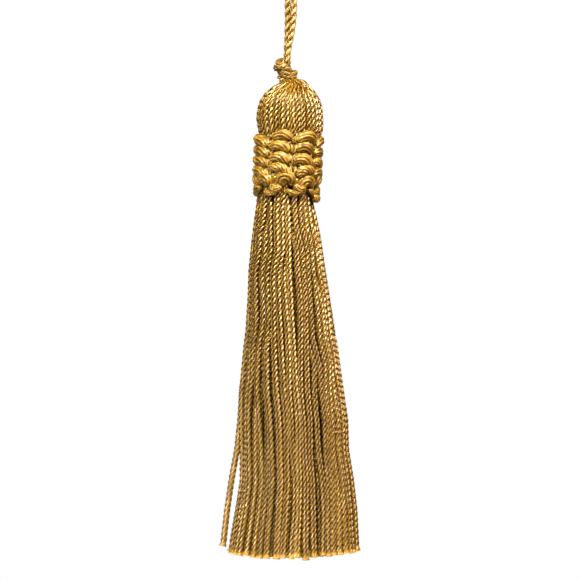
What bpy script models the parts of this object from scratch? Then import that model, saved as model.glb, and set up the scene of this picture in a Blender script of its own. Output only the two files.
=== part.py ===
"""Silk tassel: a skirt of twisted cords under a round head, with a knotted collar, a knot and a hanging loop.

Metres, +Z up. The origin is the point under the top of the loop where a hook carries it. The tassel hangs
down -Z and its front faces -Y. Lengths in the tables are millimetres, and MM turns them into metres.
"""
import math
from collections import namedtuple

import bmesh
import bpy
from mathutils import Vector

MM = 0.001

# Heights down the tassel
LOOP_HEIGHT = 65.0
KNOT_HEIGHT = 6.5
KNOT_TOP = -LOOP_HEIGHT
NECK = KNOT_TOP - KNOT_HEIGHT
GAP = 0.3

# Loop: a two-ply cord. Its route goes up one leg, round the bight and down the other leg.
CORD_RADIUS = 0.88
CORD_WAIST = 0.66
CORD_SIDES = 6
CORD_LAY = 4.8
STEPS_PER_LAY = 6
LOOP_ROUTE = (
    (-0.64, -0.99, -65.0),
    (-0.53, -0.98, -63.0),
    (0.08, -0.93, -60.1),
    (0.60, -0.80, -57.2),
    (0.94, -0.60, -54.3),
    (1.23, -0.34, -51.4),
    (1.36, 0.00, -48.5),
    (1.34, 0.00, -43.0),
    (1.30, 0.00, -37.0),
    (1.25, 0.00, -31.0),
    (1.42, 0.00, -25.0),
    (1.95, 0.00, -19.0),
    (2.75, 0.00, -13.5),
    (3.60, 0.00, -8.5),
    (4.20, 0.00, -5.0),
    (4.08, 0.00, -2.4),
    (3.10, 0.00, -0.4),
    (1.65, 0.00, 0.55),
    (0.00, 0.00, 0.90),
    (-1.65, 0.00, 0.55),
    (-3.10, 0.00, -0.4),
    (-4.08, 0.00, -2.4),
    (-4.20, 0.00, -5.0),
    (-3.55, 0.00, -8.5),
    (-2.60, 0.00, -13.5),
    (-1.75, 0.00, -19.0),
    (-1.10, 0.00, -25.0),
    (-0.85, 0.00, -31.0),
    (-0.72, 0.00, -37.0),
    (-0.66, 0.00, -43.0),
    (-0.64, 0.00, -48.5),
    (-0.62, 0.34, -51.4),
    (-0.60, 0.62, -54.3),
    (-0.68, 0.80, -57.2),
    (-0.76, 0.93, -60.1),
    (-0.92, 0.98, -63.0),
    (-0.92, 0.99, -65.0),
)

# Knot: sections down from its top, tipped so that its wraps run down to the right
KnotSection = namedtuple("KnotSection", "drop centre radius tip")
KNOT_SIDES = 20
KNOT_SECTIONS = (
    KnotSection(0.0, -1.2, 1.9, 0.0),
    KnotSection(0.5, -1.5, 2.4, 0.2),
    KnotSection(1.2, -1.9, 2.7, 0.35),
    KnotSection(1.7, -1.9, 2.45, 0.35),
    KnotSection(2.2, -1.9, 2.85, 0.35),
    KnotSection(2.9, -1.7, 2.9, 0.35),
    KnotSection(3.3, -1.4, 2.5, 0.35),
    KnotSection(3.8, -1.1, 2.9, 0.35),
    KnotSection(4.4, -0.8, 2.95, 0.3),
    KnotSection(4.8, -0.6, 2.5, 0.25),
    KnotSection(5.3, -0.6, 2.8, 0.15),
    KnotSection(5.8, -0.6, 2.75, 0.05),
    KnotSection(KNOT_HEIGHT - GAP, -0.6, 2.4, 0.0),
)

# Head: outline of the bundle down from the neck, as far as the plane where the skirt's cords are rooted
Section = namedtuple("Section", "drop centre radius")
RIBS = 48
RIB_DEPTH = 0.22
HEAD_SECTIONS = (
    Section(0.0, -0.6, 2.5),
    Section(0.5, 0.1, 3.4),
    Section(1.1, 0.8, 4.2),
    Section(2.1, 0.45, 5.6),
    Section(3.6, 0.1, 7.3),
    Section(5.8, 0.0, 8.7),
    Section(8.2, 0.0, 9.4),
    Section(11.2, -0.1, 9.75),
    Section(13.2, 0.0, 9.65),
    Section(15.2, -0.2, 9.2),
    Section(16.4, -0.5, 8.2),
    Section(18.1, -0.7, 7.4),
    Section(32.1, -0.7, 7.4),
)

# Skirt: the same outline on down to the cut ends, and its rings of cords
SKIRT_SECTIONS = (
    HEAD_SECTIONS[-1],
    Section(37.5, -1.4, 8.5),
    Section(55.0, -0.9, 11.3),
    Section(85.0, 0.4, 14.5),
    Section(139.0, 1.3, 19.0),
)
SKIRT_DEPTH = 0.9
SKIRT_REACH = 106.7
StrandRing = namedtuple("StrandRing", "share count turn")
STRAND_RINGS = (
    StrandRing(1.00, 46, 0.0),
    StrandRing(0.76, 31, 0.4),
    StrandRing(0.54, 20, 0.1),
    StrandRing(0.33, 10, 0.3),
    StrandRing(0.14, 4, 0.6),
)
STRAND_WIDTH = 1.8
STRAND_SHARE = 0.66
ROOT_MARGIN = 0.65
END_UNEVEN = 0.7
# The cord that hangs apart at the left, and how far out of the skirt each of its sections stands
STRAY_ANGLE = math.pi
STRAY_OUT = (0.0, 0.0, 0.0, 0.3, 3.1)
# The cord at the front that ends lowest
LONG_ANGLE = -1.30
LONG_EXTRA = 1.2

# Collar: rows of knots down from the neck. An arch lifts the middle of a knot over its ends, and a negative
# arch lets it sag. A turn of half a column sets a row between the columns above.
KnotRow = namedtuple("KnotRow", "drop half_height arch turn radius")
COLUMNS = 8
FIRST_COLUMN = math.radians(-106.0)
STEPS_PER_COLUMN = 8
COLLAR_CENTRE = -0.7
GROOVE_RADIUS = 8.45
GROOVE_SWELL = 0.75
KNOT_ROWS = (
    KnotRow(16.6, 0.75, 2.0, 0.0, 10.05),
    KnotRow(19.8, 0.75, 2.0, 0.0, 10.1),
    KnotRow(22.9, 0.75, 2.0, 0.0, 10.1),
    KnotRow(26.0, 0.75, 1.6, 0.0, 10.15),
    KnotRow(29.4, 0.95, 0.2, 0.5, 10.3),
    KnotRow(32.4, 0.65, -1.2, 0.0, 10.1),
)
COLLAR_TOP = 15.4
COLLAR_FOOT = 33.9
COLLAR_UNEVEN = 0.12


def clear_scene():
    for old in list(bpy.data.objects):
        bpy.data.objects.remove(old, do_unlink=True)


def silk(name, colour, roughness):
    """A plain Principled material in the cord's own gold."""
    material = bpy.data.materials.new(name)
    material.use_nodes = True
    shader = material.node_tree.nodes["Principled BSDF"]
    shader.inputs["Base Color"].default_value = (*colour, 1.0)
    shader.inputs["Roughness"].default_value = roughness
    shader.inputs["Metallic"].default_value = 0.0
    material.diffuse_color = (*colour, 1.0)
    return material


def add_ring(bm, points):
    """Vertices for one closed ring, in millimetres until finish scales the piece."""
    return [bm.verts.new(point) for point in points]


def join_rings(bm, rings):
    """Walls between rings that run anticlockwise seen from above and come from the top down."""
    for upper, lower in zip(rings, rings[1:]):
        count = len(upper)
        for i in range(count):
            j = (i + 1) % count
            bm.faces.new((upper[i], lower[i], lower[j], upper[j]))


def finish(name, bm, material):
    bmesh.ops.recalc_face_normals(bm, faces=bm.faces)
    bmesh.ops.triangulate(bm, faces=bm.faces)
    bmesh.ops.scale(bm, vec=(MM, MM, MM), verts=bm.verts)
    mesh = bpy.data.meshes.new(name)
    bm.to_mesh(mesh)
    bm.free()
    mesh.shade_smooth()
    mesh.set_sharp_from_angle(angle=math.radians(50.0))
    mesh.materials.append(material)
    piece = bpy.data.objects.new(name, mesh)
    bpy.context.collection.objects.link(piece)
    return piece


def uneven(*keys):
    """A fixed value from -1 to 1 that looks random, for hand-made unevenness."""
    total = sum((k + 1) * step for k, step in zip(keys, (12.9898, 78.233, 37.719)))
    return 2.0 * (math.sin(total) * 43758.5453 % 1.0) - 1.0


def section_at(sections, drop):
    """The outline's centre and radius at a height, straight between the table's rows."""
    for upper, lower in zip(sections, sections[1:]):
        if drop <= lower.drop:
            share = (drop - upper.drop) / (lower.drop - upper.drop)
            centre = upper.centre + share * (lower.centre - upper.centre)
            radius = upper.radius + share * (lower.radius - upper.radius)
            return centre, radius
    return sections[-1].centre, sections[-1].radius


def smooth_route(points, spacing):
    """Points along a smooth curve through the route, about as far apart as spacing."""
    dense = []
    last = len(points) - 1
    for i in range(last):
        before = points[max(i - 1, 0)]
        start = points[i]
        end = points[i + 1]
        after = points[min(i + 2, last)]
        for step in range(12):
            t = step / 12.0
            dense.append(0.5 * (2.0 * start + (end - before) * t
                                + (2.0 * before - 5.0 * start + 4.0 * end - after) * t * t
                                + (3.0 * start - before - 3.0 * end + after) * t * t * t))
    dense.append(points[-1])
    length = sum((b - a).length for a, b in zip(dense, dense[1:]))
    count = round(length / spacing)
    route = [dense[0]]
    travelled = 0.0
    for a, b in zip(dense, dense[1:]):
        run = (b - a).length
        while len(route) < count and travelled + run >= length * len(route) / count:
            share = (length * len(route) / count - travelled) / run
            route.append(a.lerp(b, share))
        travelled += run
    route.append(dense[-1])
    return route


def make_loop(material):
    """The loop's cord: a waisted section turned along the route, so that its two plies show."""
    route = smooth_route([Vector(point) for point in LOOP_ROUTE], CORD_LAY / STEPS_PER_LAY)
    bm = bmesh.new()
    rings = []
    depth = Vector((0.0, 1.0, 0.0))
    for i, point in enumerate(route):
        along = (route[min(i + 1, len(route) - 1)] - route[max(i - 1, 0)]).normalized()
        side = along.cross(depth).normalized()
        back = side.cross(along)
        ring = []
        for k in range(CORD_SIDES):
            around = 2.0 * math.pi * (k / CORD_SIDES + i / STEPS_PER_LAY)
            radius = CORD_RADIUS if k % (CORD_SIDES // 2) == 0 else CORD_WAIST
            ring.append(point + radius * (math.cos(around) * side + math.sin(around) * back))
        rings.append(add_ring(bm, ring))
    join_rings(bm, rings)
    bm.faces.new(rings[0])
    bm.faces.new(rings[-1])
    return finish("hanging_loop", bm, material)


def make_knot(material):
    """The wrapped knot: a turned body with a groove between its wraps, each ring tipped to the right."""
    bm = bmesh.new()
    rings = []
    for section in KNOT_SECTIONS:
        ring = []
        for k in range(KNOT_SIDES):
            around = 2.0 * math.pi * k / KNOT_SIDES
            x = section.radius * math.cos(around)
            y = section.radius * math.sin(around)
            z = KNOT_TOP - GAP - section.drop * (KNOT_HEIGHT - 2.0 * GAP) / (KNOT_HEIGHT - GAP)
            ring.append((section.centre + x, y, z - section.tip * x))
        rings.append(add_ring(bm, ring))
    join_rings(bm, rings)
    bm.faces.new(rings[0])
    bm.faces.new(rings[-1])
    return finish("top_knot", bm, material)


def strand_sections(share, angle, pitch_angle, extra, outs):
    """Corner points of one skirt cord's four-sided rings, from its root down to its cut end."""
    rings = []
    for section, out in zip(SKIRT_SECTIONS, outs):
        is_root = section is SKIRT_SECTIONS[0]
        width = min(STRAND_WIDTH, STRAND_SHARE * section.radius * share * min(pitch_angle, 1.0))
        margin = ROOT_MARGIN if is_root else 0.5 * STRAND_WIDTH * section.radius / SKIRT_SECTIONS[-1].radius
        reach = share * (section.radius - margin) + out
        depth = 1.0 if is_root else SKIRT_DEPTH
        x = section.centre + reach * math.cos(angle)
        y = depth * reach * math.sin(angle)
        z = NECK - section.drop
        if section is SKIRT_SECTIONS[-1]:
            root_drop = SKIRT_SECTIONS[0].drop
            z = NECK - root_drop - math.sqrt(SKIRT_REACH ** 2 - x * x - y * y) - extra
        outward = Vector((math.cos(angle), math.sin(angle), 0.0)) * 0.5 * width
        across = Vector((-math.sin(angle), math.cos(angle), 0.0)) * 0.5 * width
        centre = Vector((x, y, z))
        rings.append([centre + outward + across, centre - outward + across,
                      centre - outward - across, centre + outward - across])
    return rings


def make_head_and_skirt(material):
    """The bundle: a ribbed head, closed below by a plate that every skirt cord grows out of."""
    bm = bmesh.new()
    rings = []
    count = 2 * RIBS
    for section in HEAD_SECTIONS:
        depth = min(RIB_DEPTH, 0.03 * section.radius)
        ring = []
        for k in range(count):
            around = 2.0 * math.pi * k / count
            radius = section.radius - (depth if k % 2 else 0.0)
            ring.append((section.centre + radius * math.cos(around), radius * math.sin(around),
                         NECK - section.drop))
        rings.append(add_ring(bm, ring))
    join_rings(bm, rings)
    bm.faces.new(rings[0])
    borders = [rings[-1]]
    flat = (0.0,) * len(SKIRT_SECTIONS)
    for number, ring in enumerate(STRAND_RINGS):
        pitch_angle = 2.0 * math.pi / ring.count
        stray = round((STRAY_ANGLE / pitch_angle) - ring.turn) % ring.count
        longest = round((LONG_ANGLE / pitch_angle) - ring.turn) % ring.count
        for k in range(ring.count):
            angle = (k + ring.turn) * pitch_angle
            extra = END_UNEVEN * uneven(number, k)
            outs = flat
            if number == 0 and k == stray:
                outs = STRAY_OUT
            if number == 0 and k == longest:
                extra = LONG_EXTRA
            corners = [add_ring(bm, points)
                       for points in strand_sections(ring.share, angle, pitch_angle, extra, outs)]
            join_rings(bm, corners)
            bm.faces.new(corners[-1])
            borders.append(corners[0])
    edges = []
    for border in borders:
        for a, b in zip(border, border[1:] + border[:1]):
            edges.append(bm.edges.get((a, b)))
    bmesh.ops.triangle_fill(bm, edges=edges, use_beauty=True, use_dissolve=False, normal=(0.0, 0.0, -1.0))
    return finish("head_and_skirt", bm, material)


def collar_levels():
    """Levels down the collar's outside: its top edge, a groove and two swells for each row, and its foot."""
    levels = [(COLLAR_TOP, KNOT_ROWS[0].arch, 0.0, 9.9, 0.25)]
    before = KNOT_ROWS[0]
    for row in KNOT_ROWS:
        if row is not before:
            groove = 0.5 * (before.drop + before.half_height + row.drop - row.half_height)
            levels.append((groove, 0.5 * (before.arch + row.arch), row.turn, GROOVE_RADIUS + GROOVE_SWELL, 0.5))
        levels.append((row.drop - row.half_height, row.arch, row.turn, row.radius, 1.0))
        levels.append((row.drop + row.half_height, row.arch, row.turn, row.radius, 1.0))
        before = row
    levels.append((COLLAR_FOOT, KNOT_ROWS[-1].arch, 0.0, 9.5, 0.5))
    return levels


def make_collar(material):
    """The knotted band: rows of swelling knots outside, and inside a wall just clear of the bundle."""
    bm = bmesh.new()
    count = COLUMNS * STEPS_PER_COLUMN
    column = 2.0 * math.pi / COLUMNS
    sections = HEAD_SECTIONS + SKIRT_SECTIONS[1:]

    def outer(level, number, k):
        drop, arch, turn, radius, roundness = level
        around = FIRST_COLUMN + 2.0 * math.pi * k / count
        knot = k / STEPS_PER_COLUMN - turn
        place = knot - round(knot)
        middle = math.cos(2.0 * math.pi * place)
        swell = max(math.cos(math.pi * place), 0.0) ** roundness
        wobble = COLLAR_UNEVEN * uneven(number // 3, round(knot) % COLUMNS)
        r = GROOVE_RADIUS + (radius - GROOVE_RADIUS + wobble) * swell
        z = NECK - drop + 0.5 * arch * middle + wobble
        return COLLAR_CENTRE + r * math.cos(around), r * math.sin(around), z

    def inner(drop, k):
        around = FIRST_COLUMN + 2.0 * math.pi * k / count
        centre, radius = section_at(sections, drop)
        r = radius + GAP + 0.1
        return centre + r * math.cos(around), r * math.sin(around), NECK - drop

    levels = collar_levels()
    outside = [[outer(level, number, k) for k in range(count)] for number, level in enumerate(levels)]
    inside_top = [inner(NECK - z, k) for k, (x, y, z) in enumerate(outside[0])]
    inside_foot = [inner(NECK - z, k) for k, (x, y, z) in enumerate(outside[-1])]
    waist = [inner(HEAD_SECTIONS[-2].drop, k) for k in range(count)]
    root = [inner(HEAD_SECTIONS[-1].drop, k) for k in range(count)]
    loops = [add_ring(bm, points) for points in outside + [inside_foot, root, waist, inside_top]]
    join_rings(bm, loops + [loops[0]])
    return finish("collar", bm, material)


def main():
    clear_scene()
    make_loop(silk("silk_loop_cord", (0.66, 0.43, 0.12), 0.42))
    make_knot(silk("silk_knot_cord", (0.60, 0.39, 0.10), 0.42))
    make_head_and_skirt(silk("silk_bundle_cords", (0.56, 0.36, 0.09), 0.45))
    make_collar(silk("silk_collar_cord", (0.50, 0.34, 0.08), 0.38))


main()
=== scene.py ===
"""Gold silk tassel: the looks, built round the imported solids. Metres, the same frame as the solids."""
import math
from collections import namedtuple

import bmesh
import bpy
import numpy as np
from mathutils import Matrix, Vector


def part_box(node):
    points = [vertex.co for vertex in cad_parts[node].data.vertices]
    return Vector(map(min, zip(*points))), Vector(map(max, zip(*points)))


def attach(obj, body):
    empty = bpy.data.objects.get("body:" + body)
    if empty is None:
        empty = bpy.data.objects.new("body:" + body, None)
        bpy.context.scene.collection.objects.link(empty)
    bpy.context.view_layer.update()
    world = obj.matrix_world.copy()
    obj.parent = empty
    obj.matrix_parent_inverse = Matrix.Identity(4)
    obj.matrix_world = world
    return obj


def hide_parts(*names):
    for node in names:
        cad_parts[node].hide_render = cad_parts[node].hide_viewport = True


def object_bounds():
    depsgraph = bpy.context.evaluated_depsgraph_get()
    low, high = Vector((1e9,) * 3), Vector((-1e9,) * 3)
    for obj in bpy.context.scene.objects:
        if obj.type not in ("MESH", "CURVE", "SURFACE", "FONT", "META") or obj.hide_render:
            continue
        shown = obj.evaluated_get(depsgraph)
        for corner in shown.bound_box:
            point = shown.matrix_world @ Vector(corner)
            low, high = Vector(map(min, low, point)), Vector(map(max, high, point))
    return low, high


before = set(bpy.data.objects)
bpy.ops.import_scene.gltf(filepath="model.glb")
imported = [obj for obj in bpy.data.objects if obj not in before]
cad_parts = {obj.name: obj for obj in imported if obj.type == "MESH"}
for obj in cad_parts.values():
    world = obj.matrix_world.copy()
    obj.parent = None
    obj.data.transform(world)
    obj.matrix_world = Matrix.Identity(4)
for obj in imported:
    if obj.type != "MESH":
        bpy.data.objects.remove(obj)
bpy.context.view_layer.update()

MM = 0.001

# The view. A product photograph: the tassel hangs in front of a level camera with a long lens, on white.
# One pixel of the 580 pixel square picture is 0.29 mm at the tassel.
PIXEL = 0.29 * MM
PICTURE_SIDE = 580 * PIXEL
PICTURE_CENTRE = Vector((0.0, 0.0, -132.6 * MM))
LENS = 200.0
SENSOR = 36.0


def set_camera():
    """A level camera, so far in front of the picture's centre that the picture's side fills the sensor."""
    data = bpy.data.cameras.new("photo_camera")
    data.lens = LENS
    data.sensor_width = SENSOR
    camera = bpy.data.objects.new("photo_camera", data)
    camera.location = PICTURE_CENTRE + Vector((0.0, -PICTURE_SIDE * LENS / SENSOR, 0.0))
    camera.rotation_euler = (math.radians(90.0), 0.0, 0.0)
    bpy.context.collection.objects.link(camera)
    bpy.context.scene.camera = camera
    bpy.context.scene.view_settings.view_transform = "Standard"


def add(tree, kind, settings=None, **links):
    """A node with its settings, and its inputs set to a value or linked to another node's output.

    An input is named, or given as i and its number."""
    node = tree.nodes.new(kind)
    for key, value in (settings or {}).items():
        setattr(node, key, value)
    for key, value in links.items():
        socket = node.inputs[int(key[1:])] if key[0] == "i" and key[1:].isdigit() else node.inputs[key]
        if isinstance(value, bpy.types.NodeSocket):
            tree.links.new(value, socket)
        else:
            socket.default_value = value
    return node


def linear(hex_colour):
    """A linear colour from an sRGB hex value."""
    parts = [int(hex_colour[i:i + 2], 16) / 255.0 for i in (1, 3, 5)]
    return [c / 12.92 if c <= 0.04045 else ((c + 0.055) / 1.055) ** 2.4 for c in parts] + [1.0]


def soft_light(name, place, aim, side, watts, colour="#FFFFFF", spread=180.0):
    """A square softbox that faces a point; a grid on it narrows its light to a spread in degrees."""
    data = bpy.data.lights.new(name, "AREA")
    data.spread = math.radians(spread)
    data.shape = "SQUARE"
    data.size = side
    data.energy = watts
    data.color = linear(colour)[:3]
    lamp = bpy.data.objects.new(name, data)
    lamp.location = place
    lamp.rotation_mode = "QUATERNION"
    lamp.rotation_quaternion = (Vector(aim) - Vector(place)).to_track_quat("-Z", "Y")
    bpy.context.collection.objects.link(lamp)


def light_studio():
    """Two softboxes light the tassel from its sides; the others lift its head, cut ends and left edge."""
    soft_light("softbox_left", (-0.48, -0.37, 0.15), PICTURE_CENTRE, side=0.2, watts=3.7)
    soft_light("softbox_right", (0.5, -0.33, 0.1), PICTURE_CENTRE, side=0.2, watts=5.4, colour="#FFEBDC")
    soft_light("softbox_top", (-0.03, -0.2, 0.12), (-0.002, 0.0, -0.083), side=0.1, watts=0.16, spread=26.0)
    soft_light("softbox_high", (0.2, -0.12, 0.14), (0.004, 0.0, -0.08), side=0.14, watts=0.075, spread=30.0)
    soft_light("softbox_low", (-0.02, -0.42, -0.38), (0.0, 0.0, -0.226), side=0.06, watts=0.078,
               spread=20.0)
    soft_light("softbox_edge", (-0.42, -0.16, -0.36), (0.0, 0.0, -0.18), side=0.16, watts=0.1, spread=60.0)


def set_world():
    """A dim, warm room that the camera sees as plain white."""
    world = bpy.data.worlds.new("white_room")
    world.use_nodes = True
    tree = world.node_tree
    tree.nodes.clear()
    room = add(tree, "ShaderNodeBackground", Color=linear("#FFF3DC"), Strength=0.26)
    white = add(tree, "ShaderNodeBackground", Color=linear("#FFFFFF"), Strength=1.0)
    ray = add(tree, "ShaderNodeLightPath")
    seen = add(tree, "ShaderNodeMixShader", i0=ray.outputs["Is Camera Ray"], i1=room.outputs[0],
               i2=white.outputs[0])
    add(tree, "ShaderNodeOutputWorld", Surface=seen.outputs[0])
    bpy.context.scene.world = world


FLOOR_RADIUS = 0.4
FLOOR_CLEARANCE = 0.3


def lay_floor():
    """A plain pale disc far below the cut ends and under the lamps, out of the photograph's view."""
    disc = bmesh.new()
    bmesh.ops.create_circle(disc, cap_ends=True, segments=96, radius=FLOOR_RADIUS)
    bmesh.ops.translate(disc, vec=(0.0, 0.0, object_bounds()[0].z - FLOOR_CLEARANCE), verts=disc.verts)
    floor = bpy.data.objects.new("floor", bpy.data.meshes.new("floor"))
    disc.to_mesh(floor.data)
    disc.free()
    bpy.context.collection.objects.link(floor)
    board = bpy.data.materials.new("matt_white_board")
    board.use_nodes = True
    shader = board.node_tree.nodes["Principled BSDF"]
    shader.inputs["Base Color"].default_value = linear("#F4F2EE")
    shader.inputs["Roughness"].default_value = 0.9
    floor.data.materials.append(board)


set_camera()
light_studio()
set_world()
lay_floor()

# Hanging loop: one cord of two plies of bright silk, folded in two. Both legs come up out of the knot, one
# crosses in front of the other, and above the picture they part into the loop that a hook holds.

# Like the yarn of every other piece, the cord has plies of silk floss laid up with a Z twist, so that they
# run up to the right across its front. The light falls dark in the grooves between them.
PlySection = namedtuple("PlySection", "offset radius corners")
PLY_SECTIONS = {
    # plies: how far a ply lies from the yarn's middle and its radius, as shares of the yarn's radius, and
    # the corners on one ply's share of the outline, in degrees
    1: PlySection(0.0, 1.0, (-180, -135, -90, -45, 0, 45, 90, 135)),
    2: PlySection(0.24, 0.76, (-90, -62, -28, 0, 28, 62)),
    4: PlySection(0.58, 0.45, (-45, -22, 0, 22)),
    7: PlySection(0.7, 0.33, (-25.7, -14, 0, 14)),
    8: PlySection(0.72, 0.3, (-22.5, -11, 0, 11))}
OUT_TO_CAMERA = np.array([0.0, -1.0, 0.0])
MARKS = ("crest_and_shade", "tone", "across", "loose")
CURVE_SAMPLES = 12
# How much wider a yarn is where its cut end has sprung open
CUT_FLARE = 0.22
# How quickly the painted shade deepens down a groove, and how much of it a groove keeps at a yarn's sides
# beside its face, where side light reaches in
GROOVE_CURVE = 1.8
SIDE_GROOVE_SHADE = 0.4
# A step of the map from yarn to yarn, in millimetres, so that neighbours don't share their floss
MAP_STEP = 5.3


def unit(vectors):
    """The same directions with length one."""
    return vectors / np.linalg.norm(vectors, axis=-1, keepdims=True)


def distances(line):
    """How far along a line each of its points is."""
    return np.concatenate([[0.0], np.cumsum(np.linalg.norm(np.diff(line[:, :3], axis=0), axis=1))])


def ply_outline(plies):
    """Angles round a yarn, and at each the distance from its middle to its surface, and the height there
    between the bottom of a groove and the crest of a ply."""
    offset, radius, corners = PLY_SECTIONS[plies]
    local = np.radians(np.tile(np.array(corners, dtype=float), plies))
    turn = np.repeat(np.arange(plies) * 2.0 * math.pi / plies, len(corners))
    reach = offset * np.cos(local) + np.sqrt(radius ** 2 - (offset * np.sin(local)) ** 2)
    if plies == 1:
        return local + turn, reach, np.ones_like(reach)
    return local + turn, reach, (reach - reach.min()) / (reach.max() - reach.min())


def smooth_line(points, step):
    """Evenly spaced points along a smooth curve through the given points."""
    points = np.asarray(points, dtype=float)
    padded = np.vstack([2 * points[0] - points[1], points, 2 * points[-1] - points[-2]])
    t = np.linspace(0.0, 1.0, CURVE_SAMPLES, endpoint=False)[:, None]
    runs = []
    for before, start, end, after in zip(padded, padded[1:], padded[2:], padded[3:]):
        slope = end - before
        bend = 2 * before - 5 * start + 4 * end - after
        twist = 3 * start - before - 3 * end + after
        runs.append(0.5 * (2 * start + slope * t + bend * t ** 2 + twist * t ** 3))
    dense = np.vstack(runs + [points[-1:]])
    travelled = distances(dense)
    count = max(int(round(travelled[-1] / step)), 3)
    places = np.linspace(0.0, travelled[-1], count + 1)
    return np.stack([np.interp(places, travelled, dense[:, k]) for k in range(dense.shape[1])], axis=1)


def lay_yarn(line, outward, width, plies, lay, phase=0.0, tone=0.0, cut=0.0, bedded=0.0):
    """One yarn along a line: its rings of points, how far along each is, and the marks its material reads.

    outward is the way the yarn's face looks, width its thickness, lay the length in which its plies go
    round once, cut the length that loosens at its cut end, and the last how much painted shade darkens its
    sides, for the light they lose to the yarns that it lies against."""
    along = unit(np.gradient(line, axis=0))
    side = unit(np.cross(outward * np.ones_like(line), along))
    out = np.cross(along, side)
    run = distances(line)
    loose = np.clip(1.0 - (run[-1] - run) / cut, 0.0, 1.0) if cut else np.zeros_like(run)
    angles, reach, crest_and_shade = ply_outline(plies)
    turns = np.concatenate([[0.0], np.cumsum(np.diff(run) / (lay * np.ones_like(run))[1:])])
    around = angles[None, :] + (phase + 2.0 * math.pi * turns)[:, None]
    # A loosened end is rounder between its plies and wider
    reach = reach[None, :] * (1.0 - 0.5 * loose[:, None]) + 0.5 * loose[:, None]
    reach = 0.5 * (width * (1.0 + CUT_FLARE * loose ** 2))[:, None] * reach
    rings = (line[:, None, :] + (reach * np.cos(around))[..., None] * side[:, None, :]
             + (reach * np.sin(around))[..., None] * out[:, None, :])
    # Painted shade in the grooves between the plies, deepest on the yarn's face and lighter at its sides,
    # where side light reaches into them
    facing = np.clip(np.sin(around), 0.0, 1.0)
    groove = SIDE_GROOVE_SHADE + (1.0 - SIDE_GROOVE_SHADE) * facing ** 4
    crest_and_shade = 1.0 - (1.0 - crest_and_shade[None, :] ** GROOVE_CURVE) * groove
    # Painted shade on the yarn's sides, for the light they lose to the yarns beside them
    crest_and_shade = crest_and_shade * (1.0 - bedded * (1.0 - np.clip(1.3 * facing, 0.0, 1.0)))
    every = np.ones_like(reach)
    return rings, run, {"crest_and_shade": crest_and_shade, "tone": tone * every, "across": np.cos(around),
                        "loose": loose[:, None] * every}


def weave_piece(name, yarns, material):
    """One object from many yarns, with a map in millimetres that runs round and along each yarn."""
    parts = {key: [] for key in ("points", "loops", "starts", "map", *MARKS)}
    first = 0
    loop_count = 0
    for number, (rings, run, marks) in enumerate(yarns):
        rows, sides = rings.shape[:2]
        grid = first + np.arange(rows * sides).reshape(rows, sides)
        after = np.roll(grid, -1, axis=1)
        quads = np.stack([grid[:-1], after[:-1], after[1:], grid[1:]], axis=-1).reshape(-1)
        round_step = float(np.linalg.norm(rings[0, 1] - rings[0, 0])) / MM
        left = np.broadcast_to(np.arange(sides) * round_step + MAP_STEP * number, (rows - 1, sides))
        right = left + round_step
        low = np.broadcast_to(run[:-1, None] / MM, left.shape)
        high = np.broadcast_to(run[1:, None] / MM, left.shape)
        corners = [np.stack([left, low], -1), np.stack([right, low], -1),
                   np.stack([right, high], -1), np.stack([left, high], -1)]
        # The quads round the yarn, then one flat face at each end
        ends = len(quads) + np.array([0, sides])
        parts["points"].append(rings.reshape(-1, 3))
        parts["loops"] += [quads, grid[0][::-1], grid[-1]]
        parts["map"] += [np.stack(corners, axis=2).reshape(-1, 2), np.zeros((2 * sides, 2))]
        parts["starts"] += [loop_count + np.arange(0, len(quads), 4), loop_count + ends]
        for key, values in marks.items():
            parts[key].append(values.reshape(-1))
        loop_count += len(quads) + 2 * sides
        first += rows * sides
    joined = {key: np.concatenate(values) for key, values in parts.items()}
    mesh = bpy.data.meshes.new(name)
    mesh.vertices.add(len(joined["points"]))
    mesh.vertices.foreach_set("co", joined["points"].astype(np.float32).ravel())
    mesh.loops.add(len(joined["loops"]))
    mesh.loops.foreach_set("vertex_index", joined["loops"].astype(np.int32))
    mesh.polygons.add(len(joined["starts"]))
    mesh.polygons.foreach_set("loop_start", joined["starts"].astype(np.int32))
    mesh.update(calc_edges=True)
    mesh.uv_layers.new(name="UVMap").data.foreach_set("uv", joined["map"].astype(np.float32).ravel())
    for key in MARKS:
        mesh.attributes.new(key, "FLOAT", "POINT").data.foreach_set("value", joined[key].astype(np.float32))
    mesh.shade_smooth()
    mesh.materials.append(material)
    piece = bpy.data.objects.new(name, mesh)
    bpy.context.collection.objects.link(piece)
    return piece


def make_piece(name, yarns, material, node):
    """A finished piece, joined to the tassel's one body, in place of the solid it stands for."""
    piece = weave_piece(name, yarns, material)
    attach(piece, "root")
    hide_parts(node)
    return piece


# The dyed silk. Between the plies the colour is all shade up to the first share of a ply's height, and all
# silk from the second one on.
SHADE_ENDS = 0.25
SILK_STARTS = 0.95
SHEEN_TINT = "#FFE0B0"
SILK_IOR = 1.75
# How narrow the painted shade down a cord's middle is, as a power
MIDDLE_SHADE_NARROWNESS = 9.0
# The floss lightens and darkens the dye by this much, about this share of the full colour
FLOSS_CONTRAST = 1.3
FLOSS_BASE = 0.35
FLOSS_RELIEF = 0.05 * MM


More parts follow.
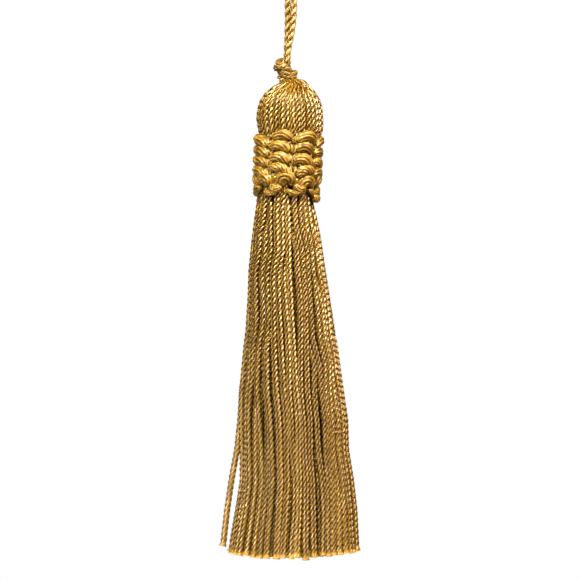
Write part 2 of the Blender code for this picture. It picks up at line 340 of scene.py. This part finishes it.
def silk(name, body, deep, end, roughness, gloss, fineness=(3.0, 0.6), middle_shade=0.0):
    """Bright reeled silk, dyed old gold.

    Long even fibres give a sharp sheen that the dye tints yellow. Between the plies painted shade turns the
    gold brown, for the light that is lost there, and the cut ends are paler. fineness is how many bundles
    of floss a millimetre holds across and along it, and the last how dark the painted shade down a cord's
    middle is, where the side lamps light its face least."""
    material = bpy.data.materials.new(name)
    material.use_nodes = True
    tree = material.node_tree
    shader = tree.nodes["Principled BSDF"]
    marks = [add(tree, "ShaderNodeAttribute", {"attribute_name": mark}).outputs["Fac"] for mark in MARKS]
    raised_and_shaded, tone, across, loose = marks
    # What a node makes of its inputs
    minus, times, power, times_plus, plus = (
        {"operation": name} for name in ("SUBTRACT", "MULTIPLY", "POWER", "MULTIPLY_ADD", "ADD"))
    # Real fibres are about 0.02 mm thick, and the bundles drawn here about 0.3 mm, so that they show
    uv = add(tree, "ShaderNodeUVMap", {"uv_map": "UVMap"})
    fibres = add(tree, "ShaderNodeMapping", Vector=uv.outputs[0], Scale=(*fineness, 1.0))
    floss = add(tree, "ShaderNodeTexNoise", {"noise_dimensions": "2D"}, Vector=fibres.outputs[0], Scale=1.0,
                Detail=3.0, Roughness=0.6)
    # Painted shade down each cord's middle, the face that the side lamps light least
    squared = add(tree, "ShaderNodeMath", times, i0=across, i1=across)
    faced = add(tree, "ShaderNodeMath", minus, i0=1.0, i1=squared.outputs[0])
    middle = add(tree, "ShaderNodeMath", power, i0=faced.outputs[0], i1=MIDDLE_SHADE_NARROWNESS)
    middle_shaded = add(tree, "ShaderNodeMath", times_plus, i0=middle.outputs[0], i1=-middle_shade, i2=1.0)
    crest_and_shade = add(tree, "ShaderNodeMath", times, i0=raised_and_shaded, i1=middle_shaded.outputs[0])
    # The painted shade in the grooves, on the sides and down the middle turns the dye from its body colour to
    # the deep one
    shade = add(tree, "ShaderNodeValToRGB", Fac=crest_and_shade.outputs[0])
    for stop, place, colour in zip(shade.color_ramp.elements, (SHADE_ENDS, SILK_STARTS), (deep, body)):
        stop.position = place
        stop.color = linear(colour)
    patchy = add(tree, "ShaderNodeMath", times_plus, i0=floss.outputs[0], i1=FLOSS_CONTRAST, i2=FLOSS_BASE)
    lively = add(tree, "ShaderNodeMath", plus, i0=patchy.outputs[0], i1=tone)
    ended = add(tree, "ShaderNodeMix", {"data_type": "RGBA"}, i0=loose, i6=shade.outputs[0], i7=linear(end))
    dyed = add(tree, "ShaderNodeMix", {"data_type": "RGBA", "blend_type": "MULTIPLY"}, i0=1.0,
               i6=ended.outputs[2], i7=lively.outputs[0])
    tree.links.new(dyed.outputs[2], shader.inputs["Base Color"])
    sheen = add(tree, "ShaderNodeMath", times, i0=lively.outputs[0], i1=gloss)
    shine = add(tree, "ShaderNodeMath", times, i0=crest_and_shade.outputs[0], i1=sheen.outputs[0])
    tree.links.new(shine.outputs[0], shader.inputs["Specular IOR Level"])
    bump = add(tree, "ShaderNodeBump", Height=floss.outputs[0], Strength=0.6, Distance=FLOSS_RELIEF)
    tree.links.new(bump.outputs[0], shader.inputs["Normal"])
    shader.inputs["Roughness"].default_value = roughness
    shader.inputs["IOR"].default_value = SILK_IOR
    shader.inputs["Specular Tint"].default_value = linear(SHEEN_TINT)
    return material


# The loop's own cord, and its way from the left leg's end in the knot over the bight to the right leg's end
CORD_WIDTH = 1.95 * MM
CORD_LAY = 4.8 * MM
CORD_STEP = CORD_LAY / 16
LOOP_ROUTE = MM * np.array([
    (-0.64, -0.99, -65.0), (-0.53, -0.98, -63.0), (0.08, -0.93, -60.1), (0.60, -0.80, -57.2),
    (0.94, -0.60, -54.3), (1.16, -0.34, -51.4), (1.26, 0.00, -48.5), (1.24, 0.00, -43.0),
    (1.20, 0.00, -37.0), (1.18, 0.00, -31.0), (1.42, 0.00, -25.0), (1.95, 0.00, -19.0),
    (2.75, 0.00, -13.5), (3.60, 0.00, -8.5), (4.20, 0.00, -5.0), (4.08, 0.00, -2.4),
    (3.10, 0.00, -0.4), (1.65, 0.00, 0.55), (0.00, 0.00, 0.90), (-1.65, 0.00, 0.55),
    (-3.10, 0.00, -0.4), (-4.08, 0.00, -2.4), (-4.20, 0.00, -5.0), (-3.55, 0.00, -8.5),
    (-2.60, 0.00, -13.5), (-1.75, 0.00, -19.0), (-1.10, 0.00, -25.0), (-0.85, 0.00, -31.0),
    (-0.72, 0.00, -37.0), (-0.66, 0.00, -43.0), (-0.64, 0.00, -48.5), (-0.62, 0.34, -51.4),
    (-0.60, 0.62, -54.3), (-0.68, 0.80, -57.2), (-0.76, 0.93, -60.1), (-0.92, 0.98, -63.0),
    (-0.92, 0.99, -65.0)])


def loop_cord(line, **looks):
    """The loop's cord along a line."""
    return lay_yarn(line, OUT_TO_CAMERA, CORD_WIDTH * np.ones(len(line)), 2, CORD_LAY, **looks)


# Silk laid up hard: each ply has a narrow bright sheen beside a groove darkened by painted shade, and its
# gold is a little browner
cord_silk = silk("twisted_silk_cord", "#89692C", "#3E2505", "#B07A20", roughness=0.3, gloss=0.8)
loop_line = smooth_line(LOOP_ROUTE, CORD_STEP)
# The cord's sides get a little painted shade
loop = make_piece("loop_cord", [loop_cord(loop_line, bedded=0.3)], cord_silk, "hanging_loop")

# Head and skirt: one bundle of four-ply cords, drawn down over the round head, bound in by the collar, then
# hanging free to their cut ends. The cords of the head run on as the skirt's outer ones, and as the skirt
# widens more cords come out from under the collar between them.
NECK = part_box("head_and_skirt")[1].z
STRAND_WIDTH = 1.87 * MM
STRAND_LAY = 6.6 * MM
OUTLINE = MM * np.array([
    # drop below the neck, middle from left to right, half width
    (-1.3, -0.9, 2.2), (-0.6, -0.8, 2.5), (0.1, -0.7, 2.7), (0.7, 0.45, 3.95), (1.3, 0.9, 4.3),
    (2.0, 0.75, 5.1), (2.6, 0.5, 5.85), (3.6, 0.25, 7.0), (5.8, 0.05, 8.6), (8.2, 0.0, 9.4),
    (11.2, -0.1, 9.75), (14.0, 0.1, 9.55), (15.8, 0.1, 9.15), (17.0, -0.4, 8.7), (19.0, -0.6, 8.5),
    (24.0, -0.7, 8.4), (31.0, -1.2, 8.2), (36.4, -1.45, 8.4), (41.0, -1.25, 9.3), (46.5, -1.1, 10.2),
    (55.2, -0.95, 11.3), (63.9, -0.3, 12.1), (72.6, 0.2, 13.0), (81.3, 0.4, 14.1), (90.0, 0.5, 15.3),
    (98.7, 1.1, 16.0), (107.4, 1.3, 16.1), (116.1, 1.9, 16.8), (124.8, 1.7, 17.9), (133.5, 1.2, 18.8),
    (141.0, 1.0, 19.4)])
SKIRT_DEPTH = 0.9
SKIRT_TOP = 32.1 * MM
SKIRT_LENGTH = 106.7 * MM
HEAD_CORDS = 31
SKIRT_CORDS = 49
# The cords that only the skirt shows start here, hidden by the collar
UNDER_COLLAR = 24.0 * MM
# The cut ends lie on an arc with this middle and radius, and a cord's depth counts by this share
ENDS_MIDDLE = 0.1 * MM
ENDS_RADIUS = 84.0 * MM
ENDS_DEPTH = 0.9
CUT_LOOSENED = 1.5 * MM
# The collar's columns stand this many degrees apart, and draw the cords together above and below it: the
# angle of one such gather, how tight it is, and the drops where it begins, holds and ends
COLUMN_PITCH = 45.0
Gather = namedtuple("Gather", "angle tightness drops")
GATHERS = (Gather(10.0, 0.6, (13.5, 18.0, 20.0, 22.0)), Gather(-2.0, 0.8, (26.0, 29.0, 32.0, 38.0)))
# Cords are squeezed thin where they leave the neck
NECK_DROPS = (0.0, 1.1, 2.1, 3.6, 5.8)
NECK_WIDTHS = (0.36, 0.45, 0.58, 0.77, 1.04)
# Every second cord of the head lies over its neighbours at the neck, wider by the one and out by the other
OVER_DROPS = (1.0, 5.0)
OVER_WIDER = 0.5 * MM
OVER_OUT = 0.7 * MM
# How far the one cord that hangs apart stands out of the skirt, from drop to drop
STRAY_OUT = MM * np.array([(90.0, 0.0), (98.7, 0.4), (107.4, 1.5), (116.1, 3.1), (124.8, 3.2), (133.5, 2.9),
                           (141.0, 2.5)])
STRAY_ANGLE = -89.0
STRAY_SHORTER = 1.1 * MM
# One cord at the front is the longest: its angle, how near a cord has to be, and by how many millimetres
LONGEST_ANGLE = 11.0
LONGEST_NEAR = 4.0
LONGEST_BY = 0.8

# Levels down the bundle: its middle, the reach of its outermost cords, how far down the skirt the level is,
# and how deep the bundle is there for its width
DROPS = MM * np.append([-1.3, -0.6, 0.1, 0.7, 1.3], np.arange(2.0, 141.5, 1.5))
MIDDLE = np.interp(DROPS, OUTLINE[:, 0], OUTLINE[:, 1])
SURFACE = np.interp(DROPS, OUTLINE[:, 0], OUTLINE[:, 2]) - 0.5 * STRAND_WIDTH
LOW = np.clip((DROPS - SKIRT_TOP) / SKIRT_LENGTH, 0.0, 1.0)
DEPTH = 1.0 - (1.0 - SKIRT_DEPTH) * np.clip(2.0 * LOW, 0.0, 1.0)

# How unevenly the cords lie: by what share their widths and twists differ, by how much their tone, and by how
# many millimetres their length; then the swing of their place round and of their reach, each as its height in
# millimetres, its bends down the skirt and the key of its start; then by how many millimetres a whole cord
# stands in or out, and the least that it reaches out from the middle
VARIATION = 0.04
TONE_VARIATION = 0.2
LENGTH_VARIATION = 0.45
SWAYS = ((0.4, 6.0, 3), (0.2, 15.0, 2))
BULGE = (0.2, 8.0, 4)
REACH_VARIATION = 0.25
LEAST_REACH = 0.3 * MM
# A cord's twist may start anywhere: this times a value from -1 to 1, in radians
ANY_PHASE = 9.0
# The twist is drawn out at the neck, where the cords also lie closest and their sides get the most painted
# shade: drops, and what is there
TWIST_DROPS = (0.0, 7.0)
TWIST_LAYS = (3.0, 1.0)
SIDE_SHADE_DROPS = (0.0, 5.0)
SIDE_SHADE = (1.0, 0.6)
# How the outer cords share the room: how closely they pack, over how many places one comes into view, over
# how many levels to each side the room is evened out, what share of a full place a hidden one takes, and how
# many widths deeper it lies
PACKING = 0.97
VIEW_FADE = 3.0
ROOM_SMOOTHED = 4
HIDDEN_CLAIM = 0.15
HIDDEN_DEEPER = 0.75

# Kinds of cord: its plies, how many rings each turn of them has, and how much painted shade darkens it where
# it lies behind the others
CordKind = namedtuple("CordKind", "plies rings tone")
OUTER = CordKind(4, 10, 0.0)
INNER = CordKind(4, 7, -0.42)
CORE = CordKind(1, 4, -0.42)
# Rings of cords inside the outer ones: how many, their share of the outline, what kind
INNER_COUNT = 38
INNER_BEHIND = (2.6, 1.35)
CORE_RINGS = ((24, 0.74), (18, 0.55), (12, 0.36), (6, 0.17))


def uneven(*keys):
    """A fixed value from -1 to 1 that looks random: the same keys always give the same one."""
    total = sum((key + 1.0) * step for key, step in zip(keys, (12.9898, 78.233, 37.719)))
    return 2.0 * (math.sin(total) * 43758.5453 % 1.0) - 1.0


def by_drop(drop, drops, values):
    """The values at a drop below the neck, between those at the given drops in millimetres."""
    return np.interp(drop, MM * np.array(drops), values)


def wave(seed, height, bends, key):
    """A slow swing down the skirt, which starts elsewhere for each cord."""
    return height * np.sin(bends * LOW + 6.0 * uneven(seed, key))


def gathered(angle):
    """A cord's angle at every level, drawn to the nearest gather above and below the collar."""
    waves = math.radians(360.0 / COLUMN_PITCH)
    for gather in GATHERS:
        pull = by_drop(DROPS, gather.drops, [0.0, gather.tightness, gather.tightness, 0.0])
        angle = angle - pull / waves * np.sin(waves * (angle - gather.angle))
    return angle


def cut_level(point, extra):
    """The height of the cut end of a cord at this point, which is extra longer than its neighbours."""
    off_middle = math.hypot(point[0] - ENDS_MIDDLE, ENDS_DEPTH * point[1])
    rise = ENDS_RADIUS - math.sqrt(ENDS_RADIUS ** 2 - off_middle ** 2)
    return NECK - SKIRT_TOP - SKIRT_LENGTH + rise - extra


def strand(seed, start, angle, reach, extra=0.0, apart=False, over=0.0, kind=OUTER):
    """One cord of the bundle, from a drop below the neck to its cut end.

    angle in degrees round the axis, nought at the front, and reach from it are given for every level. apart
    is for the cord that stands out of the skirt, and over is one for a cord that lies over others at the
    neck."""
    free = MM * np.minimum(3.0 * LOW, 1.0)
    reach = reach + free * (wave(seed, *BULGE) + REACH_VARIATION * uneven(seed, 12))
    reach = np.maximum(reach, LEAST_REACH)
    if apart:
        reach = reach + np.interp(DROPS, STRAY_OUT[:, 0], STRAY_OUT[:, 1])
    sway = sum(wave(seed, *values) for values in SWAYS)
    turned = np.radians(gathered(angle)) + sway * free / np.maximum(SURFACE, 5.0 * MM)
    x = MIDDLE + reach * np.sin(turned)
    y = -DEPTH * reach * np.cos(turned)
    points = np.stack([x, y, NECK - DROPS], axis=1)
    foot = cut_level(points[-1], extra)
    used = (DROPS >= start) & (points[:, 2] > foot + 1.0 * MM)
    line = smooth_line(np.vstack([points[used], (x[-1], y[-1], foot)]), STRAND_LAY / kind.rings)
    drop = NECK - line[:, 2]
    outward = np.stack([np.interp(drop, DROPS, np.sin(turned)), -np.interp(drop, DROPS, np.cos(turned)),
                        np.zeros(len(drop))], axis=1)
    width = STRAND_WIDTH * by_drop(drop, NECK_DROPS, NECK_WIDTHS)
    width = width + over * by_drop(drop, OVER_DROPS, (OVER_WIDER, 0.0))
    width = width * (1.0 + VARIATION * uneven(seed, 13))
    lay = STRAND_LAY * (1.0 + VARIATION * uneven(seed, 5)) * by_drop(drop, TWIST_DROPS, TWIST_LAYS)
    # Painted shade on the cords' sides, most at the neck, and none for the cord that hangs apart
    bedded = 0.0 if apart else by_drop(drop, SIDE_SHADE_DROPS, SIDE_SHADE)[:, None]
    return lay_yarn(line, outward, width, kind.plies, lay, phase=ANY_PHASE * uneven(seed, 6),
                    tone=TONE_VARIATION * uneven(seed, 7) + kind.tone, cut=CUT_LOOSENED, bedded=bedded)


def share_room():
    """Which outer cords show at each level: their ranks, how far each is in view, and its place round.

    At each level as many lie side by side as fit, and the others lie a layer deeper and come out between
    them further down. The golden section keeps the ones in view evenly spread."""
    golden_section = 0.618034
    ranks = np.argsort(np.argsort(np.arange(SKIRT_CORDS) * golden_section % 1.0))
    room = np.where(DROPS < UNDER_COLLAR, HEAD_CORDS, 2.0 * math.pi * PACKING * SURFACE / STRAND_WIDTH)
    levels = 2 * ROOM_SMOOTHED + 1
    padded = np.pad(room, ROOM_SMOOTHED, mode="edge")
    room = np.convolve(padded, np.full(levels, 1.0 / levels), mode="valid")
    in_view = np.clip((room[None, :] - ranks[:, None]) / VIEW_FADE + 0.5, 0.0, 1.0)
    claims = HIDDEN_CLAIM + (1.0 - HIDDEN_CLAIM) * in_view
    places = (np.cumsum(claims, axis=0) - 0.5 * claims) / claims.sum(axis=0)
    return ranks, in_view, places


def outer_cords():
    """The cords that cover the head and the skirt, those at the front and those at the back."""
    front = []
    back = []
    ranks, in_view, places = share_room()
    for k in range(SKIRT_CORDS):
        angle = 360.0 * (places[k] + 0.2 * uneven(k, 1) / SKIRT_CORDS)
        over = float(np.sum(ranks[:k] < HEAD_CORDS) % 2)
        reach = SURFACE - HIDDEN_DEEPER * STRAND_WIDTH * (1.0 - in_view[k])
        reach = reach - by_drop(DROPS, OVER_DROPS, (OVER_OUT, 0.0)) * (1.0 - over)
        start = DROPS[0] if ranks[k] < HEAD_CORDS else UNDER_COLLAR
        longest = LONGEST_BY * math.exp(-((angle[-1] - LONGEST_ANGLE) / LONGEST_NEAR) ** 2)
        extra = MM * (LENGTH_VARIATION * uneven(k, 8) + longest)
        cord = strand(k, start, angle, reach, extra=extra, over=over)
        (front if math.cos(math.radians(angle[0])) > 0.0 else back).append(cord)
    stray_angle = STRAY_ANGLE * np.ones(len(DROPS))
    front.append(strand(80, UNDER_COLLAR, stray_angle, SURFACE, extra=-STRAY_SHORTER, apart=True))
    return front, back


def ring_of_cords(first_seed, count, start, reach, kind):
    """A ring of cords inside the bundle, all a little shorter than the outer ones."""
    cords = []
    for k in range(count):
        seed = first_seed + k
        angle = 360.0 * (k + 0.5 + 0.25 * uneven(seed, 1)) / count * np.ones(len(DROPS))
        cords.append(strand(seed, start, angle, reach, extra=MM * (0.3 * uneven(seed, 8) - 0.5), kind=kind))
    return cords


# Silk in soft shiny plies: the sheen breaks up into short slanting flecks, and painted shade darkens the
# middle of each cord, the face that the side lamps light least
strand_silk = silk("strand_silk", "#7D5C14", "#2B1700", "#A87E30", roughness=0.25, gloss=0.92, middle_shade=0.6)
front_cords, back_cords = outer_cords()
inner_reach = SURFACE - np.interp(LOW, [0.0, 0.6], INNER_BEHIND) * MM
inner_cords = ring_of_cords(100, INNER_COUNT, UNDER_COLLAR, inner_reach, INNER)
core_cords = []
for ring, (count, share) in enumerate(CORE_RINGS):
    core_cords += ring_of_cords(200 + 100 * ring, count, 1.0 * MM, share * SURFACE, CORE)
make_piece("front_cords", front_cords, strand_silk, "head_and_skirt")
make_piece("back_cords", back_cords, strand_silk, "head_and_skirt")
make_piece("inner_cords", inner_cords, strand_silk, "head_and_skirt")
make_piece("core_cords", core_cords, strand_silk, "head_and_skirt")

# Collar: floss worked in half knots round the bundle. Each knot is a plump roll of side by side yarns that
# arches over the one below; under four rows of them sits a row of round knots, and loops hang below those.
# The lengths of this section are in millimetres, and drops are measured from the neck.
COLLAR_MIDDLE = np.array([(17.0, -0.33), (32.0, -0.97)])
ROLL_YARNS = 8
ROLL_POINTS = 13
FLOSS_LAY = 30.0
FLOSS_STEP = 0.4
# Painted shade on the sides of the collar's yarns
FLOSS_SIDE_SHADE = 0.4
KnotColumn = namedtuple("KnotColumn", "angle crowns ball hang")
KNOT_COLUMNS = (
    # angle round the collar, drop of each row's crown, drop of its ball, how far its left loop hangs down
    KnotColumn(-57.5, (16.3, 19.2, 22.1, 25.1), 28.9, 0.0),
    KnotColumn(-12.5, (14.8, 17.9, 21.1, 24.3), 28.7, 0.0),
    KnotColumn(32.5, (15.1, 18.2, 21.7, 24.9), 29.8, 0.0),
    KnotColumn(77.5, (16.3, 19.4, 22.4, 25.4), 29.0, 2.8),
    KnotColumn(122.5, (15.2, 18.4, 21.6, 24.7), 28.7, 0.4),
    KnotColumn(167.5, (15.7, 18.7, 21.7, 24.9), 29.2, 0.0),
    KnotColumn(212.5, (15.0, 18.3, 21.6, 24.5), 28.6, 0.3),
    KnotColumn(257.5, (15.6, 18.8, 21.8, 24.8), 29.1, 0.0))
# The rolls of a column: half their breadth, how far their feet sag, their width, their reach from the middle
# of the collar, the most that one is tipped in degrees, and how much thinner it gets at its feet
ROLL_ACROSS = 2.95
ROLL_SAG = 1.45
ROLL_WIDTH = 3.1
ROLL_RADIUS = 8.8
ROLL_TIP = 13.0
ROLL_TAPER = 0.55
# The two loops that hang under each ball: a roll upside down, so many degrees aside of the ball
HungLoop = namedtuple("HungLoop", "aside drop across sag width turn radius")
LEFT_LOOP = HungLoop(-20.0, 33.2, 1.7, 1.1, 2.3, 186.0, 9.1)
RIGHT_LOOP = HungLoop(19.0, 34.1, 2.4, 1.3, 1.7, 172.0, 9.0)
# The balls sit a little to the right of their columns. Each is one roll, bent by a sweep to both sides.
BALL_ANGLE = 10.5
BALL_RADIUS = 8.2
BALL_WIDTH = 3.4
BALL_BEND = 1.65
BALL_SWEEP = 112.0
# The ground: how many yarns, how far out, how wide, and the drops between which they run
GROUND_YARNS = 40
GROUND_RADIUS = 8.4
GROUND_WIDTH = 1.1
# Painted shade darkens the ground yarns, which lie under the rolls
GROUND_SHADE = -0.4
GROUND_TOP = 16.5
GROUND_FOOT = 31.0


def floss_line(angle, drop, radius, x, z, rise, width, tone, plies=1):
    """Floss laid on the collar: x across and z up from a place on it, rise out from its surface."""
    turned = math.radians(angle) + x / radius
    out = radius + rise
    middle = np.interp(drop - z, COLLAR_MIDDLE[:, 0], COLLAR_MIDDLE[:, 1])
    height = NECK / MM - drop + z
    points = [middle + out * np.sin(turned), -out * np.cos(turned), height, width * np.ones(len(x))]
    line = smooth_line(MM * np.stack(points, axis=1), FLOSS_STEP * MM)
    outward = line[:, :3] - MM * np.array([np.mean(middle), 0.0, 0.0])
    outward[:, 2] = 0.0
    share = np.linspace(-1.0, 1.0, len(line))
    lit = tone + 0.15 * np.sin(7.0 * share + ANY_PHASE * uneven(angle, drop, tone))
    lay = FLOSS_LAY * MM * (1.3 + uneven(angle, drop, 1))
    phase = ANY_PHASE * uneven(angle, drop, tone)
    return lay_yarn(line[:, :3], unit(outward), line[:, 3], plies, lay, phase, lit[:, None],
                    bedded=FLOSS_SIDE_SHADE)


def roll(angle, drop, across, sag, width, turn=0.0, radius=ROLL_RADIUS):
    """Yarns that arch over together, their crown at the drop, and dive in at their feet; turn tips them."""
    share = np.linspace(-1.0, 1.0, ROLL_POINTS)
    across = across * (1.0 + 0.1 * uneven(angle, drop, 2))
    width = width * (1.0 + 0.06 * uneven(angle, drop, 3))
    x = across * share
    z = -0.5 * width - sag * np.abs(share) ** 1.8 + 0.2 * uneven(angle, drop, 4) * share
    tip = math.radians(turn)
    x, z = x * math.cos(tip) + z * math.sin(tip), z * math.cos(tip) - x * math.sin(tip)
    widths = width * (1.0 - ROLL_TAPER * np.abs(share) ** 3.4)
    rise = 0.15 * share ** 2
    return floss_line(angle, drop, radius, x, z, rise, widths, 0.25 * uneven(angle, drop), ROLL_YARNS)


def ball(angle, drop, turn):
    """One fat roll bent round a point below it, so that its yarns fan out and dive in at both feet."""
    share = np.linspace(-1.0, 1.0, ROLL_POINTS)
    bend = np.radians(BALL_SWEEP * share + turn)
    x = BALL_BEND * np.sin(bend)
    z = BALL_BEND * np.cos(bend) - 1.2
    widths = BALL_WIDTH * (1.0 - 0.5 * share ** 4)
    rise = 0.3 - 0.8 * share ** 4
    return floss_line(angle, drop, BALL_RADIUS, x, z, rise, widths, 0.2 * uneven(angle, drop), ROLL_YARNS)


def ground_yarns():
    """Yarn carried slantwise from knot to knot both ways round, which shows between the columns."""
    yarns = []
    fall = np.linspace(GROUND_TOP, GROUND_FOOT, 9)
    for k in range(GROUND_YARNS):
        angle = 720.0 / GROUND_YARNS * (k // 2)
        lean = 1.0 if k % 2 else -1.0
        x = lean * (fall - GROUND_TOP)
        yarns.append(floss_line(angle, 0.0, GROUND_RADIUS, x, -fall, 0.0, GROUND_WIDTH, GROUND_SHADE))
    return yarns


def crossing_yarns(angle, drop):
    """The two yarns that a roll's feet pull in from the next column: a small stitch between the columns."""
    down = np.linspace(0.0, 1.0, 5)
    x = 0.8 - 0.6 * down
    z = 1.2 - 2.6 * down
    rise = 0.5 * np.sin(math.pi * down)
    place = (angle + 0.5 * COLUMN_PITCH, drop + 2.6, ROLL_RADIUS)
    return [floss_line(*place, side * x, z, rise, 0.6, -0.1) for side in (-1.0, 1.0)]


def knot_column(column):
    """Four rolls with the stitches beside them, and the two hanging loops and the ball under them."""
    yarns = []
    for row, drop in enumerate(column.crowns):
        tip = ROLL_TIP * uneven(column.angle, row)
        yarns.append(roll(column.angle, drop, ROLL_ACROSS, ROLL_SAG, ROLL_WIDTH, turn=tip))
        yarns += crossing_yarns(column.angle, drop)
    angle = column.angle + BALL_ANGLE
    for hung, lower in ((LEFT_LOOP, column.hang), (RIGHT_LOOP, 0.0)):
        yarns.append(roll(angle + hung.aside, hung.drop + lower, hung.across, hung.sag, hung.width,
                          hung.turn, hung.radius))
    yarns.append(ball(angle, column.ball, turn=8.0 * uneven(column.angle, 7)))
    return yarns


# Floss with next to no twist: a broad satin sheen that follows each knot, on a more olive gold
collar_silk = silk("collar_floss", "#75560F", "#482A02", "#96701F", roughness=0.34, gloss=0.58,
                   fineness=(1.5, 0.7))
collar_yarns = ground_yarns()
for column in KNOT_COLUMNS:
    collar_yarns += knot_column(column)
make_piece("collar_knots", collar_yarns, collar_silk, "collar")

# Knot: the folded loop cord drawn tight in wraps round the bundle's neck, which closes the bundle and holds
# the loop. The pull lays the cord's yarns flat side by side.
KNOT_YARNS = 7
WRAP_LAY = 26.0 * MM
KNOT_WRAPS = (
    # each wrap is a run of: left to right, front to back, up, half its height
    [(-0.7, 0.9, -66.0, 0.8), (-1.9, 1.2, -66.0, 0.85), (-3.0, 0.6, -66.2, 0.85), (-3.5, -0.5, -66.8, 0.8),
     (-3.0, -1.6, -67.1, 0.6), (-1.9, -2.2, -67.15, 0.5), (-0.8, -2.1, -67.4, 0.45),
     (-0.3, -1.4, -67.7, 0.45), (-0.4, 0.0, -67.9, 0.45)],
    [(-2.6, 1.6, -68.2, 0.9), (-3.5, 1.0, -68.2, 1.0), (-3.9, 0.0, -68.2, 1.07), (-3.5, -1.1, -68.15, 1.05),
     (-2.5, -1.9, -68.0, 0.9), (-1.3, -2.3, -67.85, 0.65), (-0.6, -1.95, -67.9, 0.55),
     (-0.3, -0.9, -68.0, 0.6), (-0.5, 0.6, -68.2, 0.7), (-1.4, 1.6, -68.3, 0.8)],
    [(-2.9, 1.0, -69.2, 0.6), (-3.2, 0.0, -69.2, 0.65), (-2.7, -1.2, -69.15, 0.6),
     (-1.75, -2.3, -68.75, 0.5), (-0.7, -2.8, -68.55, 0.5), (0.05, -2.7, -68.75, 0.5),
     (0.3, -2.5, -69.3, 0.5), (-0.1, -2.2, -69.75, 0.45)],
    [(-2.6, 1.1, -69.8, 0.6), (-3.05, -0.2, -69.75, 0.6), (-2.2, -1.6, -69.7, 0.6),
     (-1.1, -2.4, -69.85, 0.6), (0.3, -2.3, -70.2, 0.55), (1.2, -1.5, -69.95, 0.65),
     (1.5, -0.4, -69.6, 0.85), (1.2, 0.7, -69.5, 0.8), (0.2, 1.5, -69.6, 0.7), (-1.4, 1.7, -69.9, 0.7)],
    [(-2.8, 0.4, -70.1, 0.6), (-2.6, -0.9, -70.3, 0.6), (-1.6, -1.9, -70.6, 0.6), (-0.2, -2.2, -71.0, 0.55),
     (1.0, -1.9, -71.0, 0.5), (1.7, -0.8, -70.8, 0.5)],
    [(-1.4, 1.4, -70.6, 0.6), (-2.7, 0.6, -70.7, 0.55), (-3.3, -0.4, -71.0, 0.5),
     (-2.7, -1.1, -71.1, 0.45)])
KNOT_MIDDLE = MM * np.array([-1.4, 0.0, 0.0])
# The bundle's neck inside the wraps, and where each leg of the loop goes on from its end into the knot
CORE_ROUTE = MM * np.array([(-1.5, 0.0, -66.2), (-1.7, 0.0, -68.0), (-1.4, 0.0, -69.7), (-0.7, 0.0, -72.5)])
CORE_WIDTH = 3.5 * MM
CORE_LAY = 20.0 * MM
LEG_ROUTE = MM * np.array([(0.0, 0.0, 0.3), (0.0, -0.6, -0.9), (-0.2, -1.1, -1.7), (-0.5, -0.6, -2.7)])


def knot_wrap(number, route):
    """One wrap of the knot: its cord pulled flat, as tall as the route says at each point."""
    line = smooth_line(MM * np.array(route), 0.3 * MM)
    outward = unit(line[:, :3] * np.array([1.0, 1.0, 0.0]) - KNOT_MIDDLE)
    # The wraps' sides get painted shade
    return lay_yarn(line[:, :3], outward, 2.0 * line[:, 3], KNOT_YARNS, WRAP_LAY, phase=2.0 * number,
                    tone=0.12 * uneven(number, 5), bedded=0.5)


# Silk cord drawn flat: the sheen is wide and soft, and painted shade turns the grooves between the yarns dark
# brown
knot_silk = silk("knot_silk", "#71551B", "#3A2203", "#96701F", roughness=0.38, gloss=0.5,
                 fineness=(2.0, 0.4))
knot_yarns = [knot_wrap(number, route) for number, route in enumerate(KNOT_WRAPS)]
core_line = smooth_line(CORE_ROUTE, 0.5 * MM)
core_width = CORE_WIDTH * np.ones(len(core_line))
# The bundle's neck inside the wraps is darkened by painted shade
knot_yarns.append(lay_yarn(core_line, OUT_TO_CAMERA, core_width, KNOT_YARNS, CORE_LAY, tone=-0.3))
for leg in (LOOP_ROUTE[0], LOOP_ROUTE[-1]):
    knot_yarns.append(loop_cord(smooth_line(leg + LEG_ROUTE, CORD_STEP)))
make_piece("knot_turns", knot_yarns, knot_silk, "top_knot")
